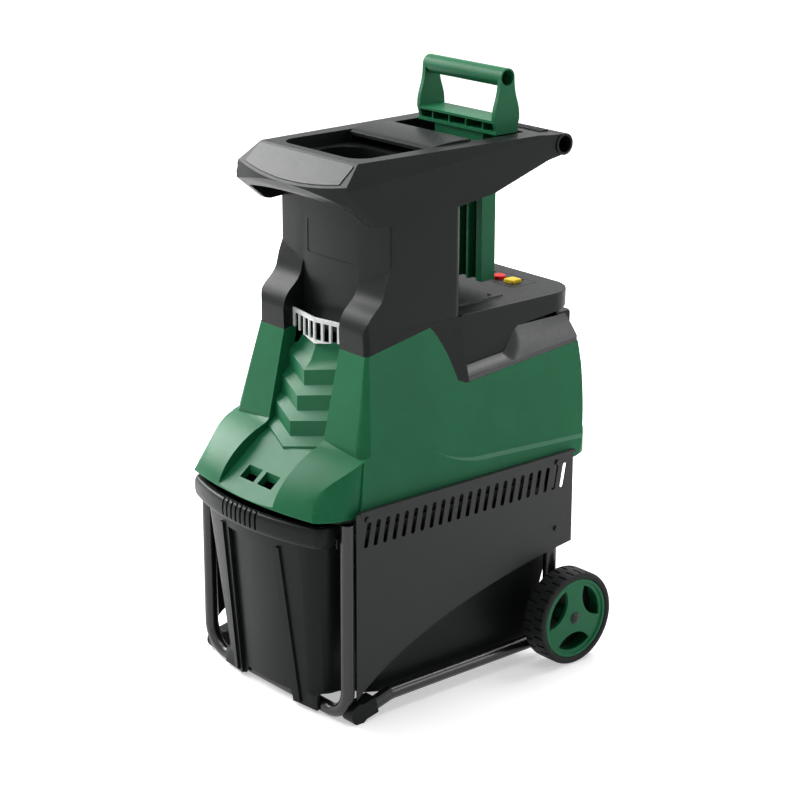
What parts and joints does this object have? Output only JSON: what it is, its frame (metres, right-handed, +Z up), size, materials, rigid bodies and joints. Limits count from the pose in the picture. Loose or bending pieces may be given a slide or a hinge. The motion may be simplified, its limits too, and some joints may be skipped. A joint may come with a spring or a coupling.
{
  "type": "garden shredder",
  "caption": "Quiet garden shredder on a tube frame with two wheels, slide-out collection box, feed hopper, plunger, geared cutting roller and motor.",
  "frame": {"origin": "Middle of the footprint box on the floor: z = 0 is the floor under the tyres and the front loop, x = 0 and y = 0 are the middle of the overall box.", "axes": "+Z is up, -Y is the front with the collection box grip, +X is the right side seen from the front."},
  "size_m": [0.495, 0.606, 0.971],
  "materials": {
    "black_plastic": "fine grain, satin",
    "green_plastic": "fine grain, satin",
    "grey_plastic": "satin",
    "frame_paint": "gloss powder coat",
    "panel_paint": "satin powder coat",
    "tyre_rubber": "matte",
    "red_plastic": "gloss",
    "yellow_plastic": "gloss",
    "steel": "machined",
    "alloy": "cast and machined"
  },
  "bodies": {
    "machine": {"front_loop": "frame_paint", "side_rail_left": "frame_paint", "side_rail_right": "frame_paint", "foot_left": "black_plastic", "foot_right": "black_plastic", "axle": "steel", "side_panel_left": "panel_paint", "side_panel_right": "panel_paint", "box_runner_left": "panel_paint", "box_runner_right": "panel_paint", "lower_housing": "green_plastic", "base_tray": "black_plastic", "chute_housing": "black_plastic", "vent_grille": "grey_plastic", "rear_cover": "black_plastic", "rear_deck": "black_plastic", "hopper": "black_plastic", "hopper_front_plate": "black_plastic", "feed_funnel": "black_plastic", "switch_panel": "black_plastic", "switch_unit": "grey_plastic", "appliance_inlet": "black_plastic", "motor_stator": "steel", "motor_end_shields": "alloy", "motor_cradle": "alloy", "gearbox_case": "alloy", "gearbox_cover": "alloy", "idler_shafts": "steel", "cutter_bearings": "steel", "cutter_chamber": "alloy", "capacitor": "alloy", "panel_screws": "steel", "cover_screws": "steel"},
    "wheel_left": {"tyre_left": "tyre_rubber", "rim_left": "green_plastic", "hub_cap_left": "black_plastic"},
    "wheel_right": {"tyre_right": "tyre_rubber", "rim_right": "green_plastic", "hub_cap_right": "black_plastic"},
    "drawer": {"collection_box": "black_plastic", "box_grip": "black_plastic"},
    "plunger": {"plunger_handle": "green_plastic", "plunger_blade": "green_plastic"},
    "start": {"start_button": "green_plastic"},
    "stop": {"stop_button": "red_plastic"},
    "reverse": {"reverse_button": "yellow_plastic"},
    "motor": {"motor_rotor": "steel", "motor_pinion": "steel", "cooling_fan": "black_plastic"},
    "idler_one": {"first_idler_gear": "steel"},
    "idler_two": {"second_idler_gear": "steel"},
    "cutter": {"cutter_shaft": "steel", "cutter_roller": "steel", "output_gear": "steel"},
    "counter": {"counter_plate": "alloy"},
    "knob": {"adjust_knob": "black_plastic", "adjust_screw": "steel"}
  },
  "joints": [
    {"name": "wheel_left_spin", "type": "hinge", "parent": "machine", "child": "wheel_left", "pos_m": [-0.2245, 0.2, 0.079], "axis": [1, 0, 0], "continuous": true},
    {"name": "wheel_right_spin", "type": "hinge", "parent": "machine", "child": "wheel_right", "pos_m": [0.2245, 0.2, 0.079], "axis": [1, 0, 0], "continuous": true},
    {"name": "box_slide", "type": "slide", "parent": "machine", "child": "drawer", "axis": [0, -1, 0], "range_m": [0, 0.47]},
    {"name": "plunger_lift", "type": "slide", "parent": "machine", "child": "plunger", "axis": [0, 0, 1], "range_m": [0, 0.24]},
    {"name": "start_press", "type": "slide", "parent": "machine", "child": "start", "axis": [0, 0, -1], "range_m": [0, 0.003], "stiffness_N_per_m": 400},
    {"name": "stop_press", "type": "slide", "parent": "machine", "child": "stop", "axis": [0, 0, -1], "range_m": [0, 0.003], "stiffness_N_per_m": 400},
    {"name": "reverse_press", "type": "slide", "parent": "machine", "child": "reverse", "axis": [0, 0, -1], "range_m": [0, 0.003], "stiffness_N_per_m": 400},
    {"name": "motor_spin", "type": "hinge", "parent": "machine", "child": "motor", "pos_m": [0.02488, 0.15, 0.45423], "axis": [0, 1, 0], "continuous": true},
    {"name": "idler_one_spin", "type": "hinge", "parent": "machine", "child": "idler_one", "pos_m": [0.07559, 0.07, 0.46782], "axis": [0, 1, 0], "continuous": true},
    {"name": "idler_two_spin", "type": "hinge", "parent": "machine", "child": "idler_two", "pos_m": [0.06495, 0.06, 0.4075], "axis": [0, 1, 0], "continuous": true},
    {"name": "cutter_spin", "type": "hinge", "parent": "machine", "child": "cutter", "pos_m": [0, -0.036, 0.445], "axis": [0, 1, 0], "continuous": true},
    {"name": "knob_turn", "type": "hinge", "parent": "machine", "child": "knob", "pos_m": [-0.18, -0.036, 0.445], "axis": [1, 0, 0], "range_deg": [0, 1080]},
    {"name": "counter_feed", "type": "slide", "parent": "machine", "child": "counter", "axis": [1, 0, 0], "range_m": [0, 0.00375]}
  ],
  "couplings": [
    {"joint": "idler_one_spin", "follows": "motor_spin", "ratio": -0.25},
    {"joint": "idler_two_spin", "follows": "motor_spin", "ratio": 0.0625},
    {"joint": "cutter_spin", "follows": "motor_spin", "ratio": -0.015625},
    {"joint": "knob_turn", "follows": "counter_feed", "rad_per_m": 5026.5}
  ]
}
